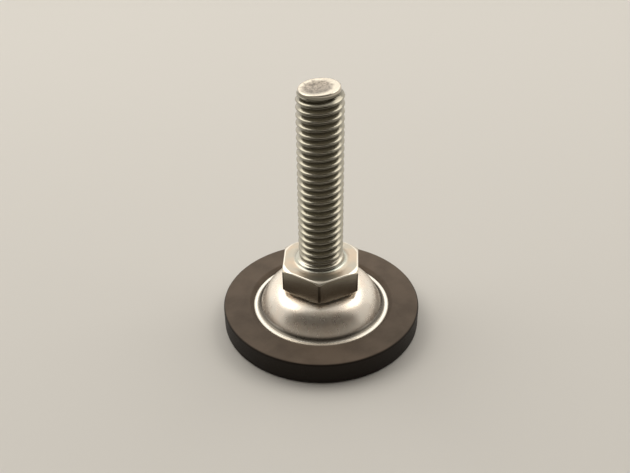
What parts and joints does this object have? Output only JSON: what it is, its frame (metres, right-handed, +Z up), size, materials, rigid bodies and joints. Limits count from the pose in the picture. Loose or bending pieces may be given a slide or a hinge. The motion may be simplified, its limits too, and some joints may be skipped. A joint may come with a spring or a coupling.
{
  "type": "levelling foot",
  "caption": "Levelling foot: threaded stud with a spanner hexagon, held by its ball end in a domed steel shell on a round rubber pad, so that it swivels and tilts.",
  "frame": {"origin": "centre of the rubber pad's flat underside, where the foot stands on the floor", "axes": "+Z up along the stud, from the pad to the stud's free end; one corner of the hexagon points to -Y"},
  "size_m": [0.0428, 0.0428, 0.0552],
  "materials": {
    "zinc_plated_stud": "bright zinc plate on cold-formed steel",
    "zinc_plated_shell": "bright zinc plate on pressed sheet steel",
    "plain_steel": "plain punched steel",
    "black_rubber": "moulded rubber, matt"
  },
  "bodies": {
    "base": {"rubber_pad": "black_rubber", "dome_shell": "zinc_plated_shell"},
    "turntable": {"thrust_disc": "plain_steel"},
    "stud": {"threaded_stud": "zinc_plated_stud"}
  },
  "joints": [
    {"name": "swivel", "type": "hinge", "parent": "base", "child": "turntable", "pos_m": [0, 0, 0.0055], "axis": [0, 0, 1], "continuous": true},
    {"name": "tilt", "type": "hinge", "parent": "turntable", "child": "stud", "pos_m": [0, 0, 0.0055], "axis": [0, 1, 0], "range_deg": [-3, 3]}
  ]
}
